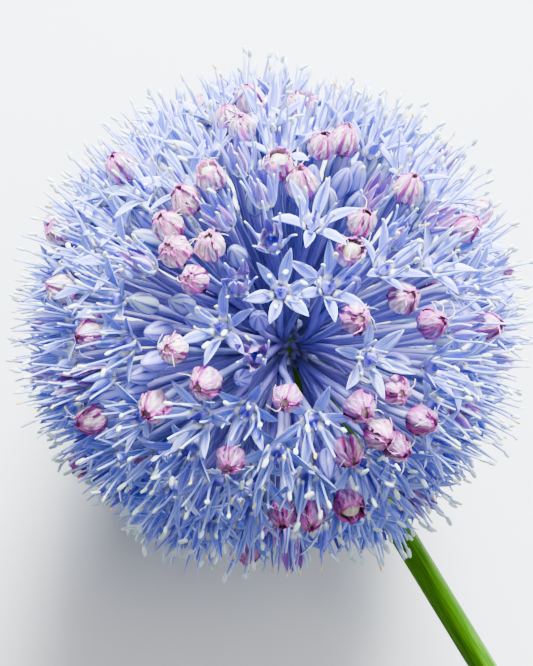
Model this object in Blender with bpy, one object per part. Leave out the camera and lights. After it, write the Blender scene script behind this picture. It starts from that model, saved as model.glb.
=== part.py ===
"""Allium flower head, picked with a short length of its stem and lying on its side.

A leafless stem, the scape, swells at its tip into a small receptacle. Thin stalks, the pedicels, spring
from it in bunches and hold over four hundred florets on the outside of a globe: open six-pointed stars
with stamens that stand out past them, spent florets shut into round papery balls, and unopened buds
that sit deeper between the rest. Each bunch is one sub-part, because its stalks grow from one base.

Metres, +Z up. The scape runs towards +Y and the crown of the globe faces -Y. The globe and the cut end of
the scape rest on Z = 0, and the origin lies there, under the middle of the whole.
"""

import math

import bmesh
import bpy
import numpy as np

MM = 0.001

# The globe
GLOBE_RADIUS = 31.0 * MM  # centre to the anthers
REST_HEIGHT = 29.4 * MM  # centre above the surface: the lowest stamens are pressed a little
STALK_CENTRE_DROP = 3.5 * MM  # the receptacle sits this far from the globe's centre, towards the scape
SPACING = {"open": 11.2, "spent": 7.8, "bud": 7.8}  # degrees between neighbours of one kind
CROWDING = 0.86  # of the florets that would fit at those spacings
INNER_BUDS = 120  # spread over the sphere under the outer florets, in the gaps between their stalks
INNER_ROOM = 2.6  # degrees
PLACE_JITTER = 0.45  # share of the spacing
SEED = 20

# The scape
SCAPE_LENGTH = 80.0 * MM  # receptacle to cut end
SCAPE_RADIUS = 1.5 * MM
CUT_END_RADIUS = 1.6 * MM
SCAPE_BEND = math.radians(6.0)  # between its two ends
RECEPTACLE_RADIUS = 2.4 * MM
NECK_LENGTH = 5.0 * MM  # from the receptacle's middle to the plain scape
CLEAR_OF_SCAPE = math.radians(12.0)  # no floret sits nearer to the scape's line than this
SCAPE_SIDES = 12

# The bunches of stalks
BUNCH_PLACES = 60
BUNCH_CLEAR_OF_SCAPE = math.radians(54.0)
BASE_GAP = 0.35 * MM  # between the receptacle and each bunch's base
BASE_THICKNESS = 0.7 * MM
BASE_INNER_RADIUS = 0.5 * MM
BASE_OUTER_RADIUS = 0.62 * MM
BASE_SIDES = 6
STALK_FOOT_DEPTH = 0.3 * MM  # the stalks' feet lie this far below the base's outer face
STALK_CROWDING = 1.5 * MM  # how far a foot stands from the base's middle, per radian that it splays
STALK_CROWDING_MOST = 0.42 * MM
STALK_FOOT_RADIUS = 0.15 * MM
STALK_TOP_RADIUS = 0.31 * MM
STALK_SIDES = 3

# An open floret, measured from its seat on the stalk
STAMEN_REACH = 6.8 * MM
STAMEN_SPREAD = 1.7 * MM
TEPAL_RISE = 2.8 * MM
TEPAL_SPREAD = 2.55 * MM
NOTCH_RISE = 0.9 * MM
NOTCH_SPREAD = 1.1 * MM
PISTIL_HEIGHT = 2.2 * MM
TEPALS = 6

# Closed florets: (spread, rise) of the rings up each one, then the height of its tip
SPENT_RINGS = ((1.55 * MM, 0.8 * MM), (1.6 * MM, 2.4 * MM))
SPENT_HEIGHT = 3.7 * MM
BUD_RINGS = ((1.2 * MM, 1.6 * MM),)
BUD_HEIGHT = 4.3 * MM
CLOSED_SIDES = 6

# How far each kind's seat lies inside the anthers, and by how much that varies
SEAT_DEPTH = {"open": 6.8 * MM, "spent": 6.0 * MM, "bud": 9.8 * MM}
SEAT_DEPTH_RANGE = {"open": 1.5 * MM, "spent": 1.4 * MM, "bud": 3.0 * MM}
PATCH_BUD_RISE = 2.0 * MM  # how much further out the buds of a patch stand than those between open florets

# Patches of one kind, as (degrees from the crown, degrees round it from the top, radius in degrees)
SPENT_PATCHES = (
    (17, -75, 9), (27, 4, 7), (40, 15, 6), (43, 79, 5), (56, 18, 5), (46, -66, 5), (36, -42, 5),
    (65, -55, 6), (64, -30, 7), (70, -18, 4), (83, -60, 5), (107, -6, 8), (121, 2, 5),
)
SPENT_SPOTS = (  # where single spent florets stand among open ones, without a radius
    (9, 80), (31, 94), (54, 58), (67, 22), (68, 35), (73, 61), (35, -99), (51, -114), (43, -28), (76, -37),
    (97, -48), (96, -18), (85, 10), (112, 28), (94, -3), (84, 24),
)
BUD_PATCHES = ((8, -64, 4), (25, 34, 5), (44, 43, 5), (47, -52, 9), (60, 40, 7), (92, -31, 5))
BARE_PATCHES = ((70, 1, 5), (77, -10, 6), (83, -24, 5), (79, -36, 4))
FAR_SIDE = 125  # degrees round the crown past which kinds are mixed by chance
MIXED_SHARES = {"near": {"spent": 0.04, "bud": 0.05}, "far": {"spent": 0.2, "bud": 0.12}}


def unit(vectors):
    """The same vectors at length 1."""
    return vectors / np.linalg.norm(vectors, axis=-1, keepdims=True)


def spiral(count):
    """Unit vectors spread evenly over a sphere along a golden-angle spiral."""
    step = np.arange(count) + 0.5
    polar = np.arccos(1 - 2 * step / count)
    turn = math.pi * (1 + math.sqrt(5)) * step
    return np.stack([np.sin(polar) * np.cos(turn), np.sin(polar) * np.sin(turn), np.cos(polar)], axis=1)


def shaken(ways, amount, chance):
    """The same directions, each moved by chance."""
    return unit(ways + amount * chance.standard_normal(ways.shape))


def settled(ways, rooms, rounds):
    """Directions pushed apart until each pair stands at least the mean of its two rooms (radians) apart."""
    wanted = (rooms[:, None] + rooms[None]) / 2
    np.fill_diagonal(wanted, 0.0)
    for _ in range(rounds):
        gaps = ways[:, None] - ways[None]
        apart = np.sqrt((gaps**2).sum(axis=2)) + np.eye(len(ways))
        short = np.clip(wanted - apart, 0.0, None)
        ways = unit(ways + 0.35 * (gaps * (short / apart)[:, :, None]).sum(axis=1))
    return ways


def scape_tilts():
    """The scape's slope below the horizontal where it leaves the receptacle, and at its cut end."""
    chord = SCAPE_LENGTH * math.sin(SCAPE_BEND / 2) / (SCAPE_BEND / 2)
    mean = 0.0
    for _ in range(4):
        tilt = mean + SCAPE_BEND / 2
        top = REST_HEIGHT - STALK_CENTRE_DROP * math.sin(tilt)
        mean = math.asin((top - CUT_END_RADIUS * math.cos(mean - SCAPE_BEND / 2)) / chord)
    return mean + SCAPE_BEND / 2, mean - SCAPE_BEND / 2


HEAD_TILT, CUT_TILT = scape_tilts()
GLOBE_CENTRE = np.array([0.0, 0.0, REST_HEIGHT])
SCAPE_WAY = np.array([0.0, math.cos(HEAD_TILT), -math.sin(HEAD_TILT)])
STALK_CENTRE = GLOBE_CENTRE + STALK_CENTRE_DROP * SCAPE_WAY
SIDE = np.array([1.0, 0.0, 0.0])
TOP = np.array([0.0, math.sin(HEAD_TILT), math.cos(HEAD_TILT)])


def round_crown_angles(ways):
    """Degrees of each direction round the crown, from the top towards +X."""
    return np.degrees(np.arctan2(ways @ SIDE, ways @ TOP))


def way_at(from_crown, round_crown):
    """The direction at these degrees from the crown, and round it from the top towards +X."""
    polar, turn = math.radians(from_crown), math.radians(round_crown)
    return math.sin(polar) * (math.sin(turn) * SIDE + math.cos(turn) * TOP) - math.cos(polar) * SCAPE_WAY


def in_patches(ways, patches):
    """Which directions lie inside any of the patches."""
    found = np.zeros(len(ways), bool)
    for from_crown, round_crown, radius in patches:
        found |= ways @ way_at(from_crown, round_crown) > math.cos(math.radians(radius))
    return found


def places(chance):
    """Every floret's direction and kind: closed florets stand closer together than open ones."""
    ways, kinds, rooms = [], [], []
    for kind, patches in (("open", None), ("spent", SPENT_PATCHES), ("bud", BUD_PATCHES)):
        room = math.radians(SPACING[kind])
        count = round(CROWDING * 8 * math.pi / math.sqrt(3) / room**2)
        found = shaken(spiral(count), PLACE_JITTER * room / 2, chance)
        if patches:
            found = found[in_patches(found, patches)]
        else:
            found = found[~in_patches(found, SPENT_PATCHES + BUD_PATCHES + BARE_PATCHES)]
        ways.append(found)
        kinds += [kind] * len(found)
        rooms += [room] * len(found)
    found = shaken(spiral(INNER_BUDS), 0.08, chance)
    found = found[~in_patches(found, BUD_PATCHES + BARE_PATCHES)]
    ways.append(found)
    kinds += ["bud"] * len(found)
    rooms += [math.radians(INNER_ROOM)] * len(found)
    for from_crown, round_crown, radius in BARE_PATCHES:
        ways.append(way_at(from_crown, round_crown)[None])
        kinds.append("bare")
        rooms.append(math.radians(2 * radius))
    ways.append(SCAPE_WAY[None])
    kinds.append("bare")
    rooms.append(2 * CLEAR_OF_SCAPE)
    return settled(np.concatenate(ways), np.array(rooms), 60), np.array(kinds)


def floret_layout():
    """Each floret's kind, seat and bunch, and the directions of the bunches' bases from the receptacle."""
    chance = np.random.default_rng(SEED)
    ways, kinds = places(chance)
    keep = (kinds != "bare") & (ways @ SCAPE_WAY < math.cos(CLEAR_OF_SCAPE))
    ways, kinds = ways[keep], kinds[keep]
    draw = chance.random(len(ways))
    far = np.abs(round_crown_angles(ways)) > FAR_SIDE
    for side, shares in (("near", MIXED_SHARES["near"]), ("far", MIXED_SHARES["far"])):
        here = (kinds == "open") & (far if side == "far" else ~far)
        kinds[here & (draw < shares["spent"])] = "spent"
        kinds[here & (draw > 1 - shares["bud"])] = "bud"
    for spot in SPENT_SPOTS:
        kinds[np.argmax(ways @ way_at(*spot))] = "spent"
    deep = np.array([SEAT_DEPTH[k] for k in kinds])
    deep += chance.random(len(ways)) * np.array([SEAT_DEPTH_RANGE[k] for k in kinds])
    deep -= PATCH_BUD_RISE * ((kinds == "bud") & in_patches(ways, BUD_PATCHES))
    seats = GLOBE_CENTRE + ways * (GLOBE_RADIUS - deep)[:, None]
    room = math.sqrt(8 * math.pi / math.sqrt(3) / BUNCH_PLACES)
    bunches = settled(spiral(BUNCH_PLACES), np.full(BUNCH_PLACES, room), 60)
    bunches = bunches[bunches @ SCAPE_WAY < math.cos(BUNCH_CLEAR_OF_SCAPE)]
    member = np.argmax(unit(seats - STALK_CENTRE) @ bunches.T, axis=1)
    rolls = chance.random(len(ways)) * 2 * math.pi / TEPALS
    return kinds, seats, member, rolls, bunches


def ring(sides, spread, rise, roll=0.0):
    """Points round the floret's axis."""
    turn = np.arange(sides) * 2 * math.pi / sides + roll
    return np.stack([spread * np.cos(turn), spread * np.sin(turn), np.full(sides, rise)], axis=1)


def foot_to_ring(first, second, sides):
    """Triangles that widen a three-sided stalk, starting at vertex first, into a ring of more sides."""
    faces = []
    reach = sides // 6
    for k in range(STALK_SIDES):
        here = first + k
        there = first + (k + 1) % STALK_SIDES
        around = [second + (2 * reach * k + j) % sides for j in range(-reach, reach + 1)]
        faces += [(here, b, a) for a, b in zip(around[:-1], around[1:])]
        faces.append((here, there, around[-1]))
    return faces


def stalk_faces():
    """The stalk's foot, vertices 0 to 2, and its sides up to the seat, vertices 3 to 5."""
    sides = [(k, (k + 1) % STALK_SIDES, 3 + (k + 1) % STALK_SIDES, 3 + k) for k in range(STALK_SIDES)]
    return [(2, 1, 0), *sides]


def open_floret():
    """A six-pointed star round a pistil, with a stamen standing up between each two points."""
    points = ring(TEPALS, TEPAL_SPREAD, TEPAL_RISE)
    notches = ring(TEPALS, NOTCH_SPREAD, NOTCH_RISE, math.pi / TEPALS)
    star = np.stack([points, notches], axis=1).reshape(-1, 3)
    pistil = [(0.0, 0.0, PISTIL_HEIGHT)]
    stamens = ring(TEPALS, STAMEN_SPREAD, STAMEN_REACH, math.pi / TEPALS / 2)
    first, sides = 6, 2 * TEPALS
    tip = first + sides
    faces = stalk_faces() + foot_to_ring(3, first, sides)
    for k in range(TEPALS):
        point, notch, following = first + 2 * k, first + 2 * k + 1, first + (2 * k + 2) % sides
        stamen = tip + 1 + k
        faces += [(point, notch, stamen), (notch, tip, stamen), (tip, point, stamen), (notch, following, tip)]
    return np.concatenate([star, pistil, stamens]), faces


def closed_floret(rings, height):
    """A ball or an egg: rings of points from the stalk up to a tip."""
    shells = [ring(CLOSED_SIDES, spread, rise) for spread, rise in rings]
    first = 6
    faces = stalk_faces() + foot_to_ring(3, first, CLOSED_SIDES)
    last = first + CLOSED_SIDES * (len(rings) - 1)
    for start in range(first, last, CLOSED_SIDES):
        for k in range(CLOSED_SIDES):
            nxt = (k + 1) % CLOSED_SIDES
            faces.append((start + k, start + nxt, start + CLOSED_SIDES + nxt, start + CLOSED_SIDES + k))
    tip = last + CLOSED_SIDES
    faces += [(last + k, last + (k + 1) % CLOSED_SIDES, tip) for k in range(CLOSED_SIDES)]
    return np.concatenate([*shells, [(0.0, 0.0, height)]]), faces


FORMS = {
    "open": open_floret(),
    "spent": closed_floret(SPENT_RINGS, SPENT_HEIGHT),
    "bud": closed_floret(BUD_RINGS, BUD_HEIGHT),
}


def floret_on_stalk(kind, seat, bunch, roll):
    """Points and faces of one stalk with its floret. Stamens that would pass the surface are bent along it."""
    splay = unit(seat - STALK_CENTRE)
    aside = STALK_CROWDING * (splay - (splay @ bunch) * bunch)
    aside *= min(1.0, STALK_CROWDING_MOST / max(np.linalg.norm(aside), 1e-9))
    foot = STALK_CENTRE + (RECEPTACLE_RADIUS + BASE_GAP + BASE_THICKNESS - STALK_FOOT_DEPTH) * bunch + aside
    up = unit(seat - foot)
    side = unit(np.cross(up, [0.0, 0.6, 0.8]))
    frame = np.stack([side, np.cross(up, side), up])
    points, faces = FORMS[kind]
    feet = foot + ring(STALK_SIDES, STALK_FOOT_RADIUS, 0.0, roll) @ frame
    tops = seat + ring(STALK_SIDES, STALK_TOP_RADIUS, 0.0, roll) @ frame
    cosine, sine = math.cos(roll), math.sin(roll)
    turned = points @ np.array([[cosine, sine, 0.0], [-sine, cosine, 0.0], [0.0, 0.0, 1.0]])
    placed = np.concatenate([feet, tops, seat + turned @ frame])
    placed[:, 2] = np.maximum(placed[:, 2], 0.0)
    return placed, faces


def scape_rings():
    """Rings along the scape's arc: round the receptacle, in to the neck, then out to the cut end."""
    ball = [-0.96, -0.75, -0.35, 0.1, 0.5, 0.75]
    along = [RECEPTACLE_RADIUS * b for b in ball]
    wide = [RECEPTACLE_RADIUS * math.sqrt(1 - b * b) for b in ball]
    stations = 10
    for k in range(stations + 1):
        share = k / stations
        along.append(NECK_LENGTH + (SCAPE_LENGTH - NECK_LENGTH) * share)
        wide.append(SCAPE_RADIUS + (CUT_END_RADIUS - SCAPE_RADIUS) * share)
    rings = []
    curl = SCAPE_BEND / SCAPE_LENGTH
    for distance, radius in zip(along, wide):
        tilt = HEAD_TILT - curl * max(distance, 0.0)
        run = (math.sin(HEAD_TILT) - math.sin(tilt)) / curl
        drop = (math.cos(tilt) - math.cos(HEAD_TILT)) / curl
        before = min(distance, 0.0)
        middle = STALK_CENTRE + np.array([0.0, run, -drop]) + before * SCAPE_WAY
        across = np.array([[1.0, 0.0, 0.0], [0.0, math.sin(tilt), math.cos(tilt)]])
        turn = np.arange(SCAPE_SIDES) * 2 * math.pi / SCAPE_SIDES
        rings.append(middle + radius * np.stack([np.cos(turn), np.sin(turn)], axis=1) @ across)
    return rings


def new_object(name, points, faces, finish):
    """A mesh object with its normals outwards."""
    mesh = bpy.data.meshes.new(name)
    mesh.from_pydata([tuple(p) for p in points], [], faces)
    shape = bmesh.new()
    shape.from_mesh(mesh)
    bmesh.ops.recalc_face_normals(shape, faces=shape.faces)
    shape.to_mesh(mesh)
    shape.free()
    mesh.materials.append(finish)
    made = bpy.data.objects.new(name, mesh)
    bpy.context.scene.collection.objects.link(made)
    return made


def scape(finish):
    """The receptacle and the scape, one lofted solid with a flat cut end."""
    rings = scape_rings()
    faces = []
    for row in range(len(rings) - 1):
        start = row * SCAPE_SIDES
        for k in range(SCAPE_SIDES):
            nxt = (k + 1) % SCAPE_SIDES
            faces.append((start + k, start + nxt, start + SCAPE_SIDES + nxt, start + SCAPE_SIDES + k))
    last = (len(rings) - 1) * SCAPE_SIDES
    faces.append(tuple(range(SCAPE_SIDES)))
    faces.append(tuple(last + k for k in range(SCAPE_SIDES)))
    made = new_object("scape", np.concatenate(rings), faces, finish)
    made.data.shade_smooth()
    made.data.set_sharp_from_angle(angle=math.radians(50))
    return made


def bunch_base(name, way, finish):
    """The small block that one bunch's stalks spring from, a frustum that widens outwards."""
    side = unit(np.cross(way, [0.6, 0.0, 0.8]))
    frame = np.stack([side, np.cross(way, side), way])
    inner = RECEPTACLE_RADIUS + BASE_GAP
    rings = [
        ring(BASE_SIDES, BASE_INNER_RADIUS, inner),
        ring(BASE_SIDES, BASE_OUTER_RADIUS, inner + BASE_THICKNESS),
    ]
    faces = [tuple(range(BASE_SIDES)), tuple(range(BASE_SIDES, 2 * BASE_SIDES))]
    for k in range(BASE_SIDES):
        nxt = (k + 1) % BASE_SIDES
        faces.append((k, nxt, BASE_SIDES + nxt, BASE_SIDES + k))
    return new_object(name, STALK_CENTRE + np.concatenate(rings) @ frame, faces, finish)


def finish(name, colour, roughness):
    """A plain Principled material."""
    made = bpy.data.materials.new(name)
    made.use_nodes = True
    shader = made.node_tree.nodes["Principled BSDF"]
    shader.inputs["Base Color"].default_value = (*colour, 1.0)
    shader.inputs["Roughness"].default_value = roughness
    return made


def build():
    """Makes the scape and every bunch, and sets the whole over the origin."""
    for old in list(bpy.data.objects):
        bpy.data.objects.remove(old)
    green = finish("scape_green", (0.10, 0.24, 0.02), 0.45)
    azure = finish("floret_azure", (0.30, 0.38, 0.80), 0.55)
    made = [scape(green)]
    low = np.concatenate(scape_rings()).min(axis=0)
    high = np.concatenate(scape_rings()).max(axis=0)
    kinds, seats, member, rolls, bunches = floret_layout()
    for number, way in enumerate(bunches):
        name = f"floret_spray_{number + 1:02d}"
        points, faces, count = [], [], 0
        for k in np.flatnonzero(member == number):
            placed, its_faces = floret_on_stalk(kinds[k], seats[k], way, rolls[k])
            faces += [tuple(v + count for v in face) for face in its_faces]
            points.append(placed)
            count += len(placed)
        points = np.concatenate(points)
        low, high = np.minimum(low, points.min(axis=0)), np.maximum(high, points.max(axis=0))
        florets = new_object(name + "_stalks", points, faces, azure)
        florets.hide_render = True
        florets.display_type = "WIRE"
        base = bunch_base(name, way, azure)
        join = base.modifiers.new("stalks", "BOOLEAN")
        join.operation = "UNION"
        join.object = florets
        join.use_self = True
        made += [florets, base]
    middle = bpy.data.objects.new("flower_head", None)
    bpy.context.scene.collection.objects.link(middle)
    middle.location = (-(low[0] + high[0]) / 2, -(low[1] + high[1]) / 2, 0.0)
    for piece in made:
        piece.parent = middle


build()
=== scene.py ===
"""Allium flower head, picked and laid on its side: the looks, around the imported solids."""

import math

import bpy
import numpy as np
from mathutils import Matrix, Vector


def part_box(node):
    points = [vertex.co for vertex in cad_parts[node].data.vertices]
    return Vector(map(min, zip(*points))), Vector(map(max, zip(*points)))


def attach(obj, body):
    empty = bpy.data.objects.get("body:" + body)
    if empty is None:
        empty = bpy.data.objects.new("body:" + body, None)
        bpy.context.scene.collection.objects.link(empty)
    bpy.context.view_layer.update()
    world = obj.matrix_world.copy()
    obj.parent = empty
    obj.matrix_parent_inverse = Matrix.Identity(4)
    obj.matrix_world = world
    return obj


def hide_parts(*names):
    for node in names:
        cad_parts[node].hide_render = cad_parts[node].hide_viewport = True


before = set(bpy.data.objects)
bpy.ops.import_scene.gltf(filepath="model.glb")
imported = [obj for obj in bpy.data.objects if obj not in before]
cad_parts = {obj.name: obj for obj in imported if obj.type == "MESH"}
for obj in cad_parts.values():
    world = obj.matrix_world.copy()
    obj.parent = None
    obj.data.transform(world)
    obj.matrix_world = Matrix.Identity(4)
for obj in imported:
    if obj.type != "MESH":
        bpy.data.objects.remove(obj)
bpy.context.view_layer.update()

# ---------------------------------------------------------------------------------------------------------
# The scape: a leafless, waxy green stem, round and solid, that swells into the receptacle inside the globe.
# It is one length of living stem, cut square at the far end and still moist there.
# ---------------------------------------------------------------------------------------------------------
MM = 0.001
GLOBE_RADIUS = 31.0 * MM  # centre to the anthers
REST_HEIGHT = 29.4 * MM  # the globe's centre above the surface
STALK_CENTRE_DROP = 3.5 * MM  # from the globe's centre to the receptacle's middle
SCAPE_LENGTH = 80.0 * MM  # from the receptacle's middle to the cut
SCAPE_RADIUS = 1.5 * MM
CUT_END_RADIUS = 1.6 * MM
SCAPE_BEND = math.radians(6.0)  # between its two ends
RECEPTACLE_RADIUS = 2.4 * MM
NECK_LENGTH = 5.0 * MM
RIBS, RIB_DEPTH = 9, 0.012  # the depth is a share of the radius


def scape_tilts():
    """The stem's slope at its two ends: the ones at which its arc ends with the cut's edge on z = 0."""
    chord = SCAPE_LENGTH * math.sin(SCAPE_BEND / 2) / (SCAPE_BEND / 2)
    mean = 0.0
    for _ in range(4):
        tilt = mean + SCAPE_BEND / 2
        top = REST_HEIGHT - STALK_CENTRE_DROP * math.sin(tilt)
        mean = math.asin((top - CUT_END_RADIUS * math.cos(mean - SCAPE_BEND / 2)) / chord)
    return mean + SCAPE_BEND / 2, mean - SCAPE_BEND / 2


HEAD_TILT, CUT_TILT = scape_tilts()
SCAPE_WAY = np.array([0.0, math.cos(HEAD_TILT), -math.sin(HEAD_TILT)])
SIDE = np.array([1.0, 0.0, 0.0])
TOP = np.array([0.0, math.sin(HEAD_TILT), math.cos(HEAD_TILT)])
CURL = SCAPE_BEND / SCAPE_LENGTH
low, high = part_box("scape")
SCAPE_RUN = (math.sin(HEAD_TILT) - math.sin(CUT_TILT)) / CURL
STALK_CENTRE = np.array([
    (low.x + high.x) / 2,
    high.y - SCAPE_RUN - CUT_END_RADIUS * math.sin(CUT_TILT),
    REST_HEIGHT - STALK_CENTRE_DROP * math.sin(HEAD_TILT),
])
GLOBE_CENTRE = STALK_CENTRE - STALK_CENTRE_DROP * SCAPE_WAY


def unit(vectors):
    """The same vectors at length 1: each divided by its norm."""
    return vectors / np.linalg.norm(vectors, axis=-1, keepdims=True)


def ring_angles(around):
    """Angles of points spread evenly round a ring: k times a full turn over their number."""
    return np.arange(around) * 2 * math.pi / around


def sleeve(rings, around, across, along):
    """Quads of a tube of rings with its two ends capped, and (u, v) at each quad's corners.
    Vertex k of ring r is r * around + k. u steps through across round the ring, v through along."""
    r, k = np.meshgrid(np.arange(rings - 1), np.arange(around), indexing="ij")
    n = (k + 1) % around
    quads = np.stack([r * around + k, r * around + n, (r + 1) * around + n, (r + 1) * around + k], axis=-1)
    u0, u1, v0, v1 = across[k], across[k + 1], along[r], along[r + 1]
    places = np.stack([np.stack(c, axis=-1) for c in ((u0, v0), (u1, v0), (u1, v1), (u0, v1))], axis=-2)
    j = np.arange(around // 2 - 1)
    cap = np.stack([j, j + 1, around - 2 - j, around - 1 - j], axis=-1)
    ends, end_places = [cap[:, ::-1], cap + (rings - 1) * around], []
    for corners, v in ((cap[:, ::-1], along[0]), (cap, along[-1])):
        end_places.append(np.stack([across[corners], np.full(corners.shape, v)], axis=-1))
    return (np.concatenate([quads.reshape(-1, 4), *ends]),
            np.concatenate([places.reshape(-1, 4, 2), *end_places]))


def turned_out(points, quads, places):
    """The quads with their corners reversed if the shell they close has a negative volume: the sum, over
    each quad's two triangles, of the triple product of its corners."""
    a, b, c, d = (points[quads[:, k]] for k in range(4))
    volume = (np.cross(a, b) * c).sum() + (np.cross(a, c) * d).sum()
    return (quads, places) if volume > 0 else (quads[:, ::-1], places[:, ::-1])


def linear(hex_colour):
    """An sRGB hex colour as linear RGBA: each channel c becomes ((c + 0.055) / 1.055) to the power 2.4."""
    channels = [int(hex_colour[k:k + 2], 16) / 255 for k in (1, 3, 5)]
    return (*[c / 12.92 if c <= 0.04045 else ((c + 0.055) / 1.055) ** 2.4 for c in channels], 1.0)


def node(tree, kind, links=(), ramp=None, **settings):
    """Adds a node of this kind with its settings, feeds it from (input, socket or value) pairs, and gives a
    colour ramp its (place, colour) stops."""
    made = tree.nodes.new("ShaderNode" + kind)
    for name, value in settings.items():
        setattr(made, name, value)
    for name, source in links:
        if isinstance(source, bpy.types.NodeSocket):
            tree.links.new(source, made.inputs[name])
        else:
            made.inputs[name].default_value = source
    if ramp:
        stops = made.color_ramp.elements
        while len(stops) < len(ramp):
            stops.new(0.5)
        for stop, (place, colour) in zip(stops, ramp):
            stop.position, stop.color = place, linear(colour)
    return made


def new_finish(name, roughness, **sockets):
    """A Principled material of this name, its tree and its shader, with constant sockets set on it."""
    made = bpy.data.materials.new(name)
    made.use_nodes = True
    shader = made.node_tree.nodes["Principled BSDF"]
    shader.inputs["Roughness"].default_value = roughness
    for socket, value in sockets.items():
        shader.inputs[socket.replace("_", " ")].default_value = value
    return made, made.node_tree, shader


def new_piece(name, points, quads, places, finishes, which=None):
    """A smooth mesh piece from whole arrays, with its (u, v) places in the map OFBake."""
    mesh = bpy.data.meshes.new(name)
    mesh.from_pydata(points.tolist(), [], quads.tolist())
    mesh.uv_layers.new(name="OFBake").data.foreach_set("uv", places.astype(np.float32).ravel())
    mesh.polygons.foreach_set("use_smooth", np.ones(len(quads), bool))
    for finish in finishes:
        mesh.materials.append(finish)
    if which is not None:
        mesh.polygons.foreach_set("material_index", which.astype(np.int32))
    mesh.update()
    made = bpy.data.objects.new(name, mesh)
    bpy.context.scene.collection.objects.link(made)
    return made


def spine(distance):
    """Points along the stem's arc at these distances from the receptacle's middle, and the slope at each.
    The slope falls evenly with distance, and run and drop are its cosine's and sine's integrals."""
    tilt = HEAD_TILT - CURL * np.maximum(distance, 0.0)
    run = (math.sin(HEAD_TILT) - np.sin(tilt)) / CURL
    drop = (np.cos(tilt) - math.cos(HEAD_TILT)) / CURL
    middle = STALK_CENTRE + np.stack([np.zeros_like(run), run, -drop], axis=-1)
    return middle + np.minimum(distance, 0.0)[:, None] * SCAPE_WAY, tilt


def scape_surface(rings, around):
    """The stem's skin: a profile carried along the arc. The profile is the larger of the receptacle's ball
    and the plain stem, which comes in over a third of the neck, less faint ribs: a cosine of the angle,
    whose depth dies away at the cut."""
    share = np.linspace(0.0, 1.0, rings)
    near_pole = -0.985 * RECEPTACLE_RADIUS
    distance = near_pole + (SCAPE_LENGTH - near_pole) * share**1.7
    ball = np.sqrt(np.clip(RECEPTACLE_RADIUS**2 - distance**2, 0.0, None))
    plain = SCAPE_RADIUS + (CUT_END_RADIUS - SCAPE_RADIUS) * np.clip(distance / SCAPE_LENGTH, 0.0, 1.0)
    step = np.clip(distance / NECK_LENGTH, 0.0, 1.0)
    radius = np.where(distance < 0.75 * RECEPTACLE_RADIUS, ball, 0.0)
    radius = np.maximum(radius, plain * np.clip(step * 3, 0.0, 1.0))
    middle, tilt = spine(distance)
    turn = ring_angles(around)
    ribs = 1 - RIB_DEPTH * (1 + np.cos(RIBS * turn))[None] * np.clip((1 - share) * 30, 0.0, 1.0)[:, None]
    wide = radius[:, None] * ribs
    up = np.stack([np.zeros_like(tilt), np.sin(tilt), np.cos(tilt)], axis=-1)
    return (middle[:, None] + wide[..., None] * (np.cos(turn)[None, :, None] * SIDE
            + np.sin(turn)[None, :, None] * up[:, None])), distance


# Living stem skin: a thin waxy cuticle over green tissue gives a soft satin highlight and a faint pale
# bloom. Fine streaks run along it, from a dark green to a lighter yellow green.
SCAPE_GIRTH_MM, SCAPE_LENGTH_MM = 9.7, 82.4
SKIN_ON_MAP = 0.8  # the skin's share of the map's width; the cut is a disc in what is left
skin, tree, shader = new_finish("scape_waxy_skin", 0.5, IOR=1.3, Specular_IOR_Level=0.1)
place = node(tree, "UVMap", uv_map="OFBake").outputs["UV"]
in_mm = node(tree, "VectorMath", [(0, place), (1, (SCAPE_GIRTH_MM / SKIN_ON_MAP, SCAPE_LENGTH_MM, 0.0))],
             operation="MULTIPLY").outputs[0]
fibre = node(tree, "VectorMath", [(0, in_mm), (1, (4.0, 0.12, 0.0))], operation="MULTIPLY").outputs[0]
streaks = node(tree, "TexNoise", [("Vector", fibre), ("Scale", 1.0), ("Detail", 4.0), ("Roughness", 0.6)])
bloom = node(tree, "TexNoise", [("Vector", in_mm), ("Scale", 0.35), ("Detail", 3.0)])
green = node(tree, "ValToRGB", [("Fac", streaks.outputs["Fac"])],
             ramp=((0.25, "#1E4600"), (0.5, "#326402"), (0.78, "#508606"))).outputs["Color"]
waxed = node(tree, "ValToRGB", [("Fac", bloom.outputs["Fac"])], ramp=((0.5, "#000000"), (0.85, "#282828")))
coloured = node(tree, "Mix", [(0, waxed.outputs["Color"]), (6, green), (7, linear("#93B87A"))],
                data_type="RGBA").outputs[2]
tree.links.new(coloured, shader.inputs["Base Color"])
raised = node(tree, "Bump", [("Height", streaks.outputs["Fac"]), ("Strength", 0.25), ("Distance", 0.00008)])
tree.links.new(raised.outputs["Normal"], shader.inputs["Normal"])

# The moist cut across it: pale spongy pith inside a darker green rind, with vascular bundles as small dots.
CUT_ON_MAP, CUT_ON_MAP_RADIUS = (0.9, 0.1, 0.0), 0.08
pith, tree, shader = new_finish("scape_cut_pith", 0.3, IOR=1.36)
place = node(tree, "UVMap", uv_map="OFBake").outputs["UV"]
from_middle = node(tree, "VectorMath", [(0, place), (1, CUT_ON_MAP)], operation="DISTANCE").outputs["Value"]
rind = node(tree, "ValToRGB", [("Fac", from_middle)],
            ramp=((0.0, "#DDE8B4"), (0.055, "#C6D98C"), (0.072, "#9CC04F"), (0.08, "#4E7F1C")))
bundles = node(tree, "TexVoronoi", [("Vector", place), ("Scale", 90.0)])
dots = node(tree, "ValToRGB", [("Fac", bundles.outputs["Distance"])],
            ramp=((0.15, "#FFFFFF"), (0.3, "#000000")))
dotted = node(tree, "Mix", [(0, dots.outputs["Color"]), (6, rind.outputs["Color"]), (7, linear("#8CA84A"))],
              data_type="RGBA")
tree.links.new(dotted.outputs[2], shader.inputs["Base Color"])

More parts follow.
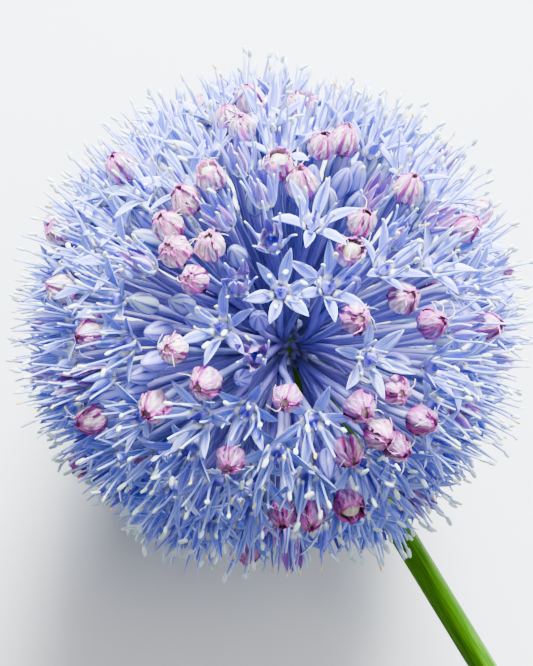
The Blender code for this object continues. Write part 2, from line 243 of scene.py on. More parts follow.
SCAPE_RINGS, SCAPE_SIDES = 110, 36
surface, distance = scape_surface(SCAPE_RINGS, SCAPE_SIDES)
around = np.linspace(0.0, 1.0, SCAPE_SIDES + 1)
quads, places = sleeve(SCAPE_RINGS, SCAPE_SIDES, around, (distance - distance[0]) / np.ptp(distance))
points = surface.reshape(-1, 3)
points[:, 2] = np.maximum(points[:, 2], 0.0)
quads, places = turned_out(points, quads, places)
places[..., 0] *= SKIN_ON_MAP
on_cut = np.zeros(len(quads), int)
on_cut[-(SCAPE_SIDES // 2 - 1):] = 1
end_points = points[quads[on_cut == 1]]
middle, tilt = spine(np.array([SCAPE_LENGTH]))
flat = (end_points - middle[0]) / CUT_END_RADIUS * CUT_ON_MAP_RADIUS
places[on_cut == 1] = np.stack([
    CUT_ON_MAP[0] + flat[..., 0],
    CUT_ON_MAP[1] + flat[..., 2] / math.cos(CUT_TILT),
], axis=-1)
scape = new_piece("green_scape", points, quads, places, [skin, pith], on_cut)
scape.data.set_sharp_from_angle(angle=math.radians(50))
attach(scape, "root")
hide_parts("scape")

# ---------------------------------------------------------------------------------------------------------
# The umbel: 455 florets on thin stalks, in bunches that spring from the receptacle. Closed florets stand
# closer together than open ones, and patches of each kind lie where the head is older or younger.
# ---------------------------------------------------------------------------------------------------------
SPACING = {"open": 11.2, "spent": 7.8, "bud": 7.8}  # degrees between neighbours of one kind
CROWDING = 0.86  # of the florets that would fit at those spacings
INNER_BUDS = 120  # spread under the outer florets, in the gaps between their stalks
INNER_ROOM = 2.6  # degrees
PLACE_JITTER = 0.45  # share of the spacing
SEED = 20
CLEAR_OF_SCAPE = math.radians(12.0)  # no floret sits nearer to the scape's line than this
BUNCH_PLACES = 60
BUNCH_CLEAR_OF_SCAPE = math.radians(54.0)
# How far each kind's seat lies inside the anthers, by how much that varies, and how much further out the
# buds of a patch stand than those between open florets.
SEAT_DEPTH = {"open": 6.8 * MM, "spent": 6.0 * MM, "bud": 9.8 * MM}
SEAT_DEPTH_RANGE = {"open": 1.5 * MM, "spent": 1.4 * MM, "bud": 3.0 * MM}
PATCH_BUD_RISE = 2.0 * MM
# Patches of one kind: degrees from the crown, degrees round it from the top, and radius in degrees. The
# spots are single spent florets among open ones, without a radius.
SPENT_PATCHES = (
    (17, -75, 9), (27, 4, 7), (40, 15, 6), (43, 79, 5), (56, 18, 5), (46, -66, 5), (36, -42, 5),
    (65, -55, 6), (64, -30, 7), (70, -18, 4), (83, -60, 5), (107, -6, 8), (121, 2, 5),
)
SPENT_SPOTS = (
    (9, 80), (31, 94), (54, 58), (67, 22), (68, 35), (73, 61), (35, -99), (51, -114), (43, -28), (76, -37),
    (97, -48), (96, -18), (85, 10), (112, 28), (94, -3), (84, 24),
)
BUD_PATCHES = ((8, -64, 4), (25, 34, 5), (44, 43, 5), (47, -52, 9), (60, 40, 7), (92, -31, 5))
BARE_PATCHES = ((70, 1, 5), (77, -10, 6), (83, -24, 5), (79, -36, 4))
FAR_SIDE = 125  # degrees round the crown past which kinds are mixed by chance
MIXED_SHARES = {"near": {"spent": 0.04, "bud": 0.05}, "far": {"spent": 0.2, "bud": 0.12}}


def spiral(count):
    """Unit vectors spread evenly over a sphere: equal steps of height, each a golden angle further round."""
    step = np.arange(count) + 0.5
    polar = np.arccos(1 - 2 * step / count)
    turn = math.pi * (1 + math.sqrt(5)) * step
    return np.stack([np.sin(polar) * np.cos(turn), np.sin(polar) * np.sin(turn), np.cos(polar)], axis=1)


def settled(ways, rooms, rounds):
    """Directions pushed apart, each round by 0.35 of what each pair lacks of the mean of its two rooms."""
    wanted = (rooms[:, None] + rooms[None]) / 2
    np.fill_diagonal(wanted, 0.0)
    for _ in range(rounds):
        gaps = ways[:, None] - ways[None]
        apart = np.sqrt((gaps**2).sum(axis=2)) + np.eye(len(ways))
        short = np.clip(wanted - apart, 0.0, None)
        ways = unit(ways + 0.35 * (gaps * (short / apart)[:, :, None]).sum(axis=1))
    return ways


def way_at(from_crown, round_crown):
    """The direction at these degrees from the crown, and round it from the top towards +X."""
    polar, turn = math.radians(from_crown), math.radians(round_crown)
    return math.sin(polar) * (math.sin(turn) * SIDE + math.cos(turn) * TOP) - math.cos(polar) * SCAPE_WAY


def in_patches(ways, patches):
    """Which directions lie inside any patch: the cosine to its middle is over the cosine of its radius."""
    found = np.zeros(len(ways), bool)
    for from_crown, round_crown, radius in patches:
        found |= ways @ way_at(from_crown, round_crown) > math.cos(math.radians(radius))
    return found


def places_on_globe(chance):
    """Every floret's direction and kind: shaken spirals at each kind's spacing, cut to its patches, settled
    together with the bare patches and the stem held as empty discs."""
    ways, kinds, rooms = [], [], []
    for kind, patches in (("open", None), ("spent", SPENT_PATCHES), ("bud", BUD_PATCHES)):
        room = math.radians(SPACING[kind])
        count = round(CROWDING * 8 * math.pi / math.sqrt(3) / room**2)
        found = spiral(count)
        found = unit(found + PLACE_JITTER * room / 2 * chance.standard_normal(found.shape))
        if patches:
            found = found[in_patches(found, patches)]
        else:
            found = found[~in_patches(found, SPENT_PATCHES + BUD_PATCHES + BARE_PATCHES)]
        ways.append(found)
        kinds += [kind] * len(found)
        rooms += [room] * len(found)
    found = unit(spiral(INNER_BUDS) + 0.08 * chance.standard_normal((INNER_BUDS, 3)))
    found = found[~in_patches(found, BUD_PATCHES + BARE_PATCHES)]
    ways.append(found)
    kinds += ["bud"] * len(found)
    rooms += [math.radians(INNER_ROOM)] * len(found)
    for from_crown, round_crown, radius in BARE_PATCHES:
        ways.append(way_at(from_crown, round_crown)[None])
        kinds.append("bare")
        rooms.append(math.radians(2 * radius))
    ways.append(SCAPE_WAY[None])
    kinds.append("bare")
    rooms.append(2 * CLEAR_OF_SCAPE)
    return settled(np.concatenate(ways), np.array(rooms), 60), np.array(kinds)


def floret_layout():
    """Each floret's kind, seat and bunch, and the directions of the bunches from the receptacle. A seat lies
    along its direction from the globe's centre, and its bunch is the one nearest in angle."""
    chance = np.random.default_rng(SEED)
    ways, kinds = places_on_globe(chance)
    keep = (kinds != "bare") & (ways @ SCAPE_WAY < math.cos(CLEAR_OF_SCAPE))
    ways, kinds = ways[keep], kinds[keep]
    draw = chance.random(len(ways))
    far = np.abs(np.degrees(np.arctan2(ways @ SIDE, ways @ TOP))) > FAR_SIDE
    for side, shares in (("near", MIXED_SHARES["near"]), ("far", MIXED_SHARES["far"])):
        here = (kinds == "open") & (far if side == "far" else ~far)
        kinds[here & (draw < shares["spent"])] = "spent"
        kinds[here & (draw > 1 - shares["bud"])] = "bud"
    for spot in SPENT_SPOTS:
        kinds[np.argmax(ways @ way_at(*spot))] = "spent"
    deep = np.array([SEAT_DEPTH[k] for k in kinds])
    deep += chance.random(len(ways)) * np.array([SEAT_DEPTH_RANGE[k] for k in kinds])
    deep -= PATCH_BUD_RISE * ((kinds == "bud") & in_patches(ways, BUD_PATCHES))
    seats = GLOBE_CENTRE + ways * (GLOBE_RADIUS - deep)[:, None]
    room = math.sqrt(8 * math.pi / math.sqrt(3) / BUNCH_PLACES)
    bunches = settled(spiral(BUNCH_PLACES), np.full(BUNCH_PLACES, room), 60)
    bunches = bunches[bunches @ SCAPE_WAY < math.cos(BUNCH_CLEAR_OF_SCAPE)]
    member = np.argmax(unit(seats - STALK_CENTRE) @ bunches.T, axis=1)
    rolls = chance.random(len(ways)) * 2 * math.pi / 6
    return kinds, seats, member, rolls, bunches


kinds, seats, member, rolls, bunches = floret_layout()
chance = np.random.default_rng(5)

# Every organ's finish reads its own tile of the map OFBake: a column of the map for each kind of organ, and
# a row for each of eight tints, from fresh to old. In a tile, u runs across the organ and v along it.
TILES = 8
TILE_EDGE = 0.04  # margin kept free round each tile, so that no colour of the next one bleeds in
COLUMNS = {"tepal": 0, "filament": 1, "anther": 2, "pistil": 3,
           "stalk": 4, "paper": 5, "capsule": 6, "bud": 7}


def tile_places(tree):
    """Sockets for u and v in the tile, both 0 to 1, and for the tint, 0 to 1 up the rows."""
    place = node(tree, "UVMap", uv_map="OFBake").outputs["UV"]
    whole = node(tree, "VectorMath", [(0, place), (1, (TILES,) * 3)], operation="MULTIPLY").outputs[0]
    row = node(tree, "VectorMath", [(0, whole)], operation="FLOOR").outputs[0]
    part = node(tree, "VectorMath", [(0, whole)], operation="FRACTION").outputs[0]
    spread = node(tree, "MapRange", [("Vector", part), (7, (TILE_EDGE,) * 3), (8, (1 - TILE_EDGE,) * 3)],
                  data_type="FLOAT_VECTOR").outputs["Vector"]
    u, v = node(tree, "SeparateXYZ", [(0, spread)]).outputs[:2]
    tint = node(tree, "Math", [(0, node(tree, "SeparateXYZ", [(0, row)]).outputs[1]), (1, TILES - 1.0)],
                operation="DIVIDE").outputs[0]
    return spread, u, v, tint


def mixed(tree, share, first, second, blend="MIX"):
    """The second colour over the first by the share, blended as named."""
    made = node(tree, "Mix", [(0, share), (6, first), (7, second)], data_type="RGBA", blend_type=blend)
    return made.outputs[2]


def shade(tree, value, *stops):
    """A ramp's colour at the value."""
    return node(tree, "ValToRGB", [("Fac", value)], ramp=stops).outputs["Color"]


def lengthwise(tree, spread, across, along, detail=3.0):
    """Noise drawn out along v: its cells are 1/across of the width and 1/along of the length."""
    stretched = node(tree, "VectorMath", [(0, spread), (1, (across, along, 1.0))],
                     operation="MULTIPLY").outputs[0]
    return node(tree, "TexNoise", [("Vector", stretched), ("Scale", 1.0), ("Detail", detail)]).outputs["Fac"]


def raise_surface(tree, shader, height, distance, strength=0.5):
    """Feeds the shader's normal from the height, whose full range is this many metres."""
    bump = node(tree, "Bump", [("Height", height), ("Distance", distance), ("Strength", strength)])
    tree.links.new(bump.outputs["Normal"], shader.inputs["Normal"])


def off_midline(tree, u):
    """0 on the organ's midline and 1 at its edges: twice the distance of u from a half."""
    gap = node(tree, "Math", [(0, u), (1, 0.5)], operation="SUBTRACT").outputs[0]
    double = node(tree, "Math", [(0, gap), (1, 2.0)], operation="MULTIPLY").outputs[0]
    return node(tree, "Math", [(0, double)], operation="ABSOLUTE").outputs[0]


# Painted shade: stalks and buds are made darker towards the side that faces the key light, because the gaps
# between the florets look too bright there without it. This is a choice of look, not something that a real
# one has.
SUNWARD = (-0.52, -0.85, 0.0)  # the way to the key light, along the floor
DARKENS_FROM, DARKEST_AT = -3.0 * MM, 8.0 * MM  # heights along it, from the globe's centre


def painted_gap_shade(tree):
    """Painted shade for the gaps: a violet grey to multiply by, white up to the first height, down to about
    two fifths at the second, in a straight line between them."""
    place = node(tree, "TexCoord").outputs["Object"]
    from_centre = node(tree, "VectorMath", [(0, place), (1, tuple(GLOBE_CENTRE))],
                       operation="SUBTRACT").outputs[0]
    height = node(tree, "VectorMath", [(0, from_centre), (1, SUNWARD)], operation="DOT_PRODUCT")
    share = node(tree, "MapRange", [("Value", height.outputs["Value"]), ("From Min", DARKENS_FROM),
                                    ("From Max", DARKEST_AT)])
    return shade(tree, share.outputs["Result"], (0.0, "#FFFFFF"), (1.0, "#A8A6B8"))


grown = []


def grow(points, quads, places, organ, tint):
    """Adds organs, an array (count, points, 3), to the piece being grown. A tint, 0 to 7, is its row."""
    quads, places = turned_out(points[0], quads, places)
    column = COLUMNS[organ]
    rows = np.broadcast_to(tint, (len(points),))
    where = TILE_EDGE + (1 - 2 * TILE_EDGE) * places
    where = np.stack([np.broadcast_to((column + where[..., 0]) / TILES, (len(points), *where.shape[:2])),
                      (rows[:, None, None] + where[None, ..., 1]) / TILES], axis=-1)
    starts = (np.arange(len(points)) * points.shape[1])[:, None, None]
    all_quads = (quads[None] + starts).reshape(-1, 4)
    grown.append((points.reshape(-1, 3), all_quads, where.reshape(-1, 4, 2), column))


def axes_along(ways, hint=(0.0, 0.6, 0.8)):
    """Right-handed frames, rows x, y, z, whose z is each way and whose x is square to the hint."""
    x = unit(np.cross(ways, np.array(hint)))
    return np.stack([x, np.cross(ways, x), ways], axis=-2)


def loft(middles, wide, thick, around, hint):
    """A tube of elliptic rings along a path: each middle plus the ring's cosines times wide on the side that
    is square to the path and to the hint, and its sines times thick on the third side."""
    along = unit(np.gradient(middles, axis=-2))
    side = unit(np.cross(along, hint))
    third = np.cross(along, side)
    turn = ring_angles(around)
    return (middles[..., None, :] + (wide[..., None] * np.cos(turn))[..., None] * side[..., None, :]
            + (thick[..., None] * np.sin(turn))[..., None] * third[..., None, :])


# ---------------------------------------------------------------------------------------------------------
# The stalks (pedicels): round, smooth and a little glossy, a dull grey blue where they leave the receptacle
# and flushed blue-violet towards the floret. Each bunch's stalks run together in a small boss of their skin.
# ---------------------------------------------------------------------------------------------------------
STALK_FOOT_RADIUS, STALK_RADIUS, STALK_TOP_RADIUS = 0.17 * MM, 0.36 * MM, 0.48 * MM
STALK_RINGS, STALK_SIDES = 9, 6
BOSS_INNER, BOSS_OUTER, BOSS_RADIUS = 2.2 * MM, 3.5 * MM, 0.62 * MM
OFF_AXES = (0.31, 0.52, 0.79)  # each ring's first axis is square to this

pedicel_skin, tree, shader = new_finish("pedicel_skin", 0.38, IOR=1.45)
spread, u, v, tint = tile_places(tree)
flush = shade(tree, v, (0.0, "#6C7498"), (0.1, "#8878C2"), (0.3, "#9C8CDA"), (0.75, "#9E92DA"),
              (1.0, "#A8A4DE"))
streaked = shade(tree, lengthwise(tree, spread, 7.0, 1.2), (0.3, "#969AAC"), (0.7, "#FFFFFF"))
tinted = shade(tree, tint, (0.0, "#FFFFFF"), (0.4, "#E4E2FF"), (0.7, "#D6E4F4"), (1.0, "#BCD8D4"))
colour = mixed(tree, 1.0, mixed(tree, 0.55, flush, streaked, "MULTIPLY"), tinted, "MULTIPLY")
# Painted shade: the stalks' colour is multiplied by a violet grey, darker on the side that faces the key
# light.
tree.links.new(mixed(tree, 1.0, colour, painted_gap_shade(tree), "MULTIPLY"), shader.inputs["Base Color"])


def curve_between(first, first_way, last, last_way, rings):
    """Points along cubic Bezier curves: the ends, with handles a third of their distance long."""
    t = np.linspace(0.0, 1.0, rings)[None, :, None]
    reach = np.linalg.norm(last - first, axis=-1, keepdims=True) / 3
    a, b, c, d = (x[:, None] for x in (first, first + reach * first_way, last - reach * last_way, last))
    return (1 - t)**3 * a + 3 * (1 - t)**2 * t * b + 3 * (1 - t) * t**2 * c + t**3 * d


def grow_stalks(feet, seats, bunch, up):
    """Stalks from their feet to their seats, narrow at the foot and flared where the floret sits."""
    middles = curve_between(feet, np.broadcast_to(bunch, feet.shape), seats, up, STALK_RINGS)
    share = np.linspace(0.0, 1.0, STALK_RINGS)
    radius = np.interp(share, (0.0, 0.25, 0.86, 1.0),
                       (STALK_FOOT_RADIUS, STALK_RADIUS, STALK_RADIUS, STALK_TOP_RADIUS))
    wide = np.broadcast_to(radius, middles.shape[:2])
    points = loft(middles, wide, wide, STALK_SIDES, OFF_AXES)
    quads, places = sleeve(STALK_RINGS, STALK_SIDES, np.linspace(0.0, 1.0, STALK_SIDES + 1), share)
    grow(points.reshape(len(feet), -1, 3), quads, places, "stalk", chance.integers(0, TILES, len(feet)))


def grow_boss(bunch):
    """The boss: an ellipse's quarter turned round the bunch's direction, with its foot in the receptacle."""
    share = np.linspace(0.0, 1.0, 6)
    middles = STALK_CENTRE + bunch * (BOSS_INNER + (BOSS_OUTER - BOSS_INNER) * share)[:, None]
    radius = BOSS_RADIUS * np.sqrt(1 - 0.94 * share**4)
    points = loft(middles[None], radius[None], radius[None], 8, OFF_AXES)
    quads, places = sleeve(6, 8, np.linspace(0.0, 1.0, 9), share * 0.05)
    grow(points.reshape(1, -1, 3), quads, places, "stalk", 0)


# ---------------------------------------------------------------------------------------------------------
# Open florets: six thin lance-shaped tepals spread in a star, six filaments that widen to a pale cup round a
# lobed ovary with a dark style, and an anther hinged on each filament: whitish when fresh, then yellow.
# ---------------------------------------------------------------------------------------------------------
TEPAL_LENGTH, TEPAL_HALF_WIDTH = 4.8 * MM, 0.66 * MM
TEPAL_THICKNESS = 0.09 * MM
TEPAL_BASE_RADIUS, TEPAL_BASE_RISE = 0.78 * MM, 0.1 * MM  # its start: from the axis, above the seat
FILAMENT_LENGTH = 6.4 * MM
FILAMENT_BASE_RADIUS, FILAMENT_BASE_RISE = 0.74 * MM, 0.25 * MM
ANTHER_HALF_LENGTH, ANTHER_RADIUS = 0.58 * MM, 0.24 * MM
SIX = np.arange(6)

# Living tepal: a thin, matt, finely grained skin that lets light through; clear azure, a dark line along its
# midrib, paler edges and a whitish foot. It fades through violet to purple.
azure_tepal, tree, shader = new_finish("azure_tepal", 0.42, IOR=1.4)
spread, u, v, tint = tile_places(tree)
off_middle = off_midline(tree, u)
body = shade(tree, tint, (0.0, "#9EB0F8"), (0.3, "#8298F2"), (0.6, "#7284E4"), (0.74, "#6E70D8"),
             (0.88, "#8A6CC8"), (1.0, "#A85CAA"))
edge = mixed(tree, shade(tree, off_middle, (0.62, "#000000"), (0.94, "#C8C8C8")), body, linear("#D6E2FF"))
grain = shade(tree, lengthwise(tree, spread, 16.0, 1.6), (0.3, "#9CA8DA"), (0.6, "#FFFFFF"))
lines = shade(tree, off_middle, (0.0, "#FFFFFF"), (0.3, "#FFFFFF"), (0.42, "#8E92DE"), (0.56, "#FFFFFF"))
grained = mixed(tree, 0.8, mixed(tree, 0.75, edge, lines, "MULTIPLY"), grain, "MULTIPLY")
rib = shade(tree, off_middle, (0.0, "#FFFFFF"), (0.1, "#D8D8D8"), (0.24, "#000000"))
rib_reach = shade(tree, v, (0.1, "#000000"), (0.3, "#C8C8C8"), (0.85, "#FFFFFF"))
ribbed = mixed(tree, mixed(tree, 1.0, rib, rib_reach, "MULTIPLY"), grained, linear("#3E3CB4"))
foot = shade(tree, v, (0.08, "#FFFFFF"), (0.28, "#000000"))
tree.links.new(mixed(tree, foot, ribbed, linear("#EEF4F0")), shader.inputs["Base Color"])
raise_surface(tree, shader, off_middle, 0.00006)

# Filament: a smooth thread, white at its widened foot and blue-violet above.
filament_skin, tree, shader = new_finish("filament_skin", 0.42, IOR=1.4)
spread, u, v, tint = tile_places(tree)
thread = shade(tree, v, (0.0, "#C4D0C6"), (0.08, "#E2EAE4"), (0.15, "#F0F6F6"), (0.22, "#8A9AE6"),
               (0.7, "#8094E2"), (1.0, "#B4C6EC"))
deep = shade(tree, v, (0.0, "#C0CCC2"), (0.08, "#DCE4E0"), (0.15, "#E8F0F0"), (0.22, "#767ED4"),
             (0.8, "#666AC8"), (1.0, "#9AA4E4"))
fresh = mixed(tree, shade(tree, tint, (0.25, "#000000"), (0.65, "#FFFFFF")), thread, deep)
dried = shade(tree, tint, (0.78, "#000000"), (0.9, "#FFFFFF"))
tree.links.new(mixed(tree, dried, fresh, linear("#F6E6E2")), shader.inputs["Base Color"])

# Anther: two matt pollen sacs with a groove between them; whitish with a blue-green cast, later yellow.
anther_sacs, tree, shader = new_finish("anther_sacs", 0.65, IOR=1.45)
spread, u, v, tint = tile_places(tree)
sacs = shade(tree, tint, (0.0, "#D4E6E2"), (0.45, "#B8D6CE"), (0.62, "#F6F2D0"), (0.82, "#F0E29C"),
             (1.0, "#E2C878"))
groove = shade(tree, off_midline(tree, u), (0.0, "#8C96A0"), (0.25, "#FFFFFF"))
pollen = shade(tree, lengthwise(tree, spread, 9.0, 14.0), (0.35, "#C9C9C9"), (0.6, "#FFFFFF"))
tree.links.new(mixed(tree, 0.6, mixed(tree, 0.7, sacs, groove, "MULTIPLY"), pollen, "MULTIPLY"),
               shader.inputs["Base Color"])

# Pistil: a rounded, glossy ovary of three lobes with a dark, stiff style.
pistil_skin, tree, shader = new_finish("pistil_skin", 0.3, IOR=1.45)
spread, u, v, tint = tile_places(tree)
lobes = shade(tree, v, (0.0, "#D6DAF2"), (0.2, "#9894E8"), (0.42, "#766CD6"), (0.52, "#36249A"),
              (1.0, "#301E8C"))
paler = shade(tree, tint, (0.0, "#FFFFFF"), (1.0, "#D8D4F6"))
tree.links.new(mixed(tree, 1.0, lobes, paler, "MULTIPLY"), shader.inputs["Base Color"])


def outward_path(lean, length, base_radius, base_rise, steps):
    """Distance from the floret's axis and height above its seat along a path that leans from the axis: the
    integrals of the lean's sine and cosine, by the trapezium rule."""
    gaps = np.diff(steps) * length[:, None]
    out = np.cumsum(gaps * (np.sin(lean[:, 1:]) + np.sin(lean[:, :-1])) / 2, axis=1)
    rise = np.cumsum(gaps * (np.cos(lean[:, 1:]) + np.cos(lean[:, :-1])) / 2, axis=1)
    nought = np.zeros((len(lean), 1))
    return (base_radius + np.concatenate([nought, out], axis=1),
            base_rise + np.concatenate([nought, rise], axis=1))


def leaning_frames(turn, lean, twist):
    """At each point of a leaning path: the way out from the axis, and the frame's side and face, turned
    about the path by the twist."""
    out = np.stack([np.cos(turn), np.sin(turn), np.zeros_like(turn)], axis=-1)[:, None]
    side = np.stack([-np.sin(turn), np.cos(turn), np.zeros_like(turn)], axis=-1)[:, None]
    face = -np.cos(lean)[..., None] * out + np.sin(lean)[..., None] * np.array([0.0, 0.0, 1.0])
    c, s = np.cos(twist)[..., None], np.sin(twist)[..., None]
    return out, side * c + face * s, face * c - side * s


BLADE_STEPS = np.array([0.0, 0.14, 0.32, 0.52, 0.72, 0.88, 1.0])
BLADE_ACROSS = np.array([-1.0, -0.42, 0.42, 1.0, 0.42, -0.42])
BLADE = sleeve(7, 6, np.append((BLADE_ACROSS + 1) / 2, 0.0), BLADE_STEPS)


def blades(turn, lean_at_foot, lean_at_tip, length, half_width, twist, sway, channel, base_radius):
    """Lance-shaped tepals: a leaning path with a lens-shaped section, whose edges rise by the channel's
    share of the width. The width swells to its most at half length and closes to the tip."""
    lean = lean_at_foot[:, None] + (lean_at_tip - lean_at_foot)[:, None] * BLADE_STEPS**0.6
    radius, rise = outward_path(lean, length, base_radius, TEPAL_BASE_RISE, BLADE_STEPS)
    out, side, face = leaning_frames(turn, lean, twist[:, None] * BLADE_STEPS)
    wide = half_width[:, None] * np.interp(BLADE_STEPS, (0, 0.14, 0.32, 0.52, 0.72, 0.88, 1.0),
                                           (0.5, 0.66, 0.92, 1.0, 0.8, 0.4, 0.03))
    thick = TEPAL_THICKNESS * np.array([1.6, 1.3, 1.0, 0.9, 0.8, 0.6, 0.3])
    middle = radius[..., None] * out + rise[..., None] * np.array([0.0, 0.0, 1.0])
    middle = middle + (sway[:, None] * BLADE_STEPS**2)[..., None] * side
    lift = np.array([1.0, 0.0, 0.0, 1.0, 0.0, 0.0])
    sunk = np.array([0.0, 0.0, 0.0, 0.0, 1.0, 1.0])
    height = channel[:, None, None] * wide[..., None] * lift - thick[None, :, None] * sunk
    return (middle[:, :, None] + (wide[..., None] * BLADE_ACROSS)[..., None] * side[:, :, None]
            + height[..., None] * face[:, :, None])


THREAD_STEPS = np.array([0.0, 0.08, 0.18, 0.34, 0.52, 0.7, 0.86, 1.0])
THREAD = sleeve(8, 4, np.array([0.0, 0.5, 1.0, 0.5, 0.0]), THREAD_STEPS)
ANTHER_ACROSS = np.array([0.0, 0.25, 0.75, 1.0, 0.75, 0.25, 0.0])
ANTHER = sleeve(5, 6, ANTHER_ACROSS, np.array([0.0, 0.15, 0.5, 0.85, 1.0]))


def threads(turn, lean_at_foot, lean_at_tip, length, foot_width, curl, base_radius):
    """Filaments: a leaning path with a diamond section that narrows from its wide, flat foot to a thread,
    and a sideways curl, a sine of the length. Gives the points, the tips and the ways they point."""
    lean = lean_at_foot[:, None] * (1 - THREAD_STEPS)**5 + lean_at_tip[:, None] * THREAD_STEPS**0.8
    radius, rise = outward_path(lean, length, base_radius, FILAMENT_BASE_RISE, THREAD_STEPS)
    out, side, face = leaning_frames(turn, lean, np.zeros_like(lean))
    middle = radius[..., None] * out + rise[..., None] * np.array([0.0, 0.0, 1.0])
    middle = middle + (curl[:, None] * np.sin(THREAD_STEPS * 4.2) * THREAD_STEPS)[..., None] * side
    wide = foot_width[:, None] * np.interp(THREAD_STEPS, (0, 0.08, 0.18, 0.3, 0.7, 1),
                                           (0.9, 1.0, 0.76, 0.34, 0.28, 0.2))
    thick = np.minimum(wide, np.interp(THREAD_STEPS, (0, 0.3, 1), (0.15, 0.17, 0.11)) * MM)
    a = (wide[..., None] * np.array([1.0, 0.0, -1.0, 0.0]))[..., None] * side[:, :, None]
    b = (thick[..., None] * np.array([0.0, 1.0, 0.0, -1.0]))[..., None] * face[:, :, None]
    return middle[:, :, None] + a + b, middle[:, -1], unit(middle[:, -1] - middle[:, -2])


def sacs_at(tips, ways, half_length, radius):
    """Anthers: capsules laid along the ways, with their middles at the tips. Each has elliptic rings that
    swell from its two ends to its middle."""
    steps = np.array([-1.0, -0.75, 0.0, 0.75, 1.0])
    frames = axes_along(ways, (0.5, 0.3, 0.81))
    turn = ring_angles(6)
    swell = np.array([0.3, 0.82, 1.0, 0.82, 0.3])
    section = np.stack([1.2 * np.cos(turn), 0.85 * np.sin(turn)], axis=-1)
    middle = tips[:, None] + (half_length[:, None] * steps)[..., None] * ways[:, None]
    around = (section[:, :, None] * frames[:, None, :2]).sum(axis=2)
    return middle[:, :, None] + (radius[:, None] * swell)[..., None, None] * around[:, None]


PISTIL_RADII = np.array([0.4, 0.72, 0.8, 0.7, 0.4, 0.19, 0.2, 0.12]) * MM
PISTIL_RISES = np.array([0.2, 0.5, 0.9, 1.3, 1.52, 1.42, 2.5, 3.6]) * MM
PISTIL = sleeve(8, 12, np.linspace(0.0, 1.0, 13), np.array([0.0, 0.12, 0.28, 0.42, 0.52, 0.6, 0.8, 1.0]))


def pistil(size):
    """A profile turned round the floret's axis, with three lobes: its radius follows the size of a cosine
    of 1.5 times the angle."""
    turn = ring_angles(12)
    lobed = 1 + (0.34 * np.abs(np.cos(1.5 * turn)) - 0.22)[None] * (PISTIL_RADII > 0.35 * MM)[:, None]
    radius = PISTIL_RADII[:, None] * lobed
    rise = np.broadcast_to(PISTIL_RISES[:, None], radius.shape)
    return size * np.stack([radius * np.cos(turn), radius * np.sin(turn), rise], axis=-1).reshape(1, -1, 3)


def set_on(points, seat, axes):
    """Organs' points, (count, rings, around, 3) in the floret's frame, turned and moved to its seat."""
    return seat + points.reshape(len(points), -1, 3) @ axes


def grow_open(seat, axes, roll):
    """One open floret: its own spread, age and small irregularities are drawn by chance."""
    spread = 1.05 - 0.9 * chance.random() ** 1.7
    fading = chance.random() < 0.15
    turn = roll + SIX * math.pi / 3 + chance.uniform(-0.09, 0.09, 6)
    outer = SIX % 2
    foot_lean = np.radians(26 + 14 * spread - 5 * outer) + chance.uniform(-0.06, 0.06, 6)
    tip_lean = np.radians(32 + 34 * spread) + chance.uniform(-0.2, 0.2, 6)
    if fading:
        foot_lean, tip_lean = foot_lean * 0.5, np.radians(chance.uniform(-25, 15, 6))
    points = blades(turn, foot_lean, tip_lean, TEPAL_LENGTH * chance.uniform(0.92, 1.06, 6),
                    TEPAL_HALF_WIDTH * (1 - 0.12 * outer) * chance.uniform(0.88, 1.08, 6),
                    chance.uniform(-0.35, 0.35, 6) * (3 if fading else 1),
                    chance.uniform(-0.25, 0.25, 6) * MM, chance.uniform(0.2, 0.65, 6), TEPAL_BASE_RADIUS)
    hue = chance.integers(6, 8) if fading else chance.integers(0, 6)
    tints = np.clip(hue + chance.integers(-1, 2, 6), 0, 7 if fading else 5)
    grow(set_on(points, seat, axes), *BLADE, "tepal", tints)
    reach = chance.uniform(0.74, 1.06) * np.where(outer == 1, 0.9, 1.0) * chance.uniform(0.94, 1.0, 6)
    points, tips, ways = threads(turn, np.radians(np.full(6, 50.0)), np.radians(chance.uniform(0, 27, 6)),
                                 FILAMENT_LENGTH * reach, chance.uniform(0.52, 0.6, 6) * MM,
                                 chance.uniform(-0.35, 0.35, 6) * MM, FILAMENT_BASE_RADIUS)
    grow(set_on(points, seat, axes), *THREAD, "filament", chance.integers(0, 5))
    age = chance.random(6) + (0.4 if fading else 0.0)
    old = age > 0.5
    ways = unit(ways + chance.normal(0.0, 0.32, (6, 3)))
    points = sacs_at(tips, ways, ANTHER_HALF_LENGTH * np.where(old, 0.66, 1.0),
                     ANTHER_RADIUS * np.where(old, 0.62, 1.0))
    sac_tints = np.where(old, chance.integers(5, 8, 6), chance.integers(0, 4, 6))
    held = age < 0.62
    if held.any():
        grow(set_on(points[held], seat, axes), *ANTHER, "anther", sac_tints[held])
    grow(set_on(pistil(chance.uniform(0.9, 1.05)), seat, axes), *PISTIL, "pistil", chance.integers(0, TILES))


# ---------------------------------------------------------------------------------------------------------
# Spent florets: the tepals have dried to paper and shut round the swelling seed capsule. They are whitish,
# with magenta edges and stripes that curl away, and the dried filaments stick out as crimped threads.
# ---------------------------------------------------------------------------------------------------------
BALL_RADIUS, BALL_HALF_HEIGHT, BALL_MIDDLE = 1.36 * MM, 1.5 * MM, 1.65 * MM
DRIED_THREAD_FOOT = 2.3 * MM  # how far above the seat the dried filaments leave the ball

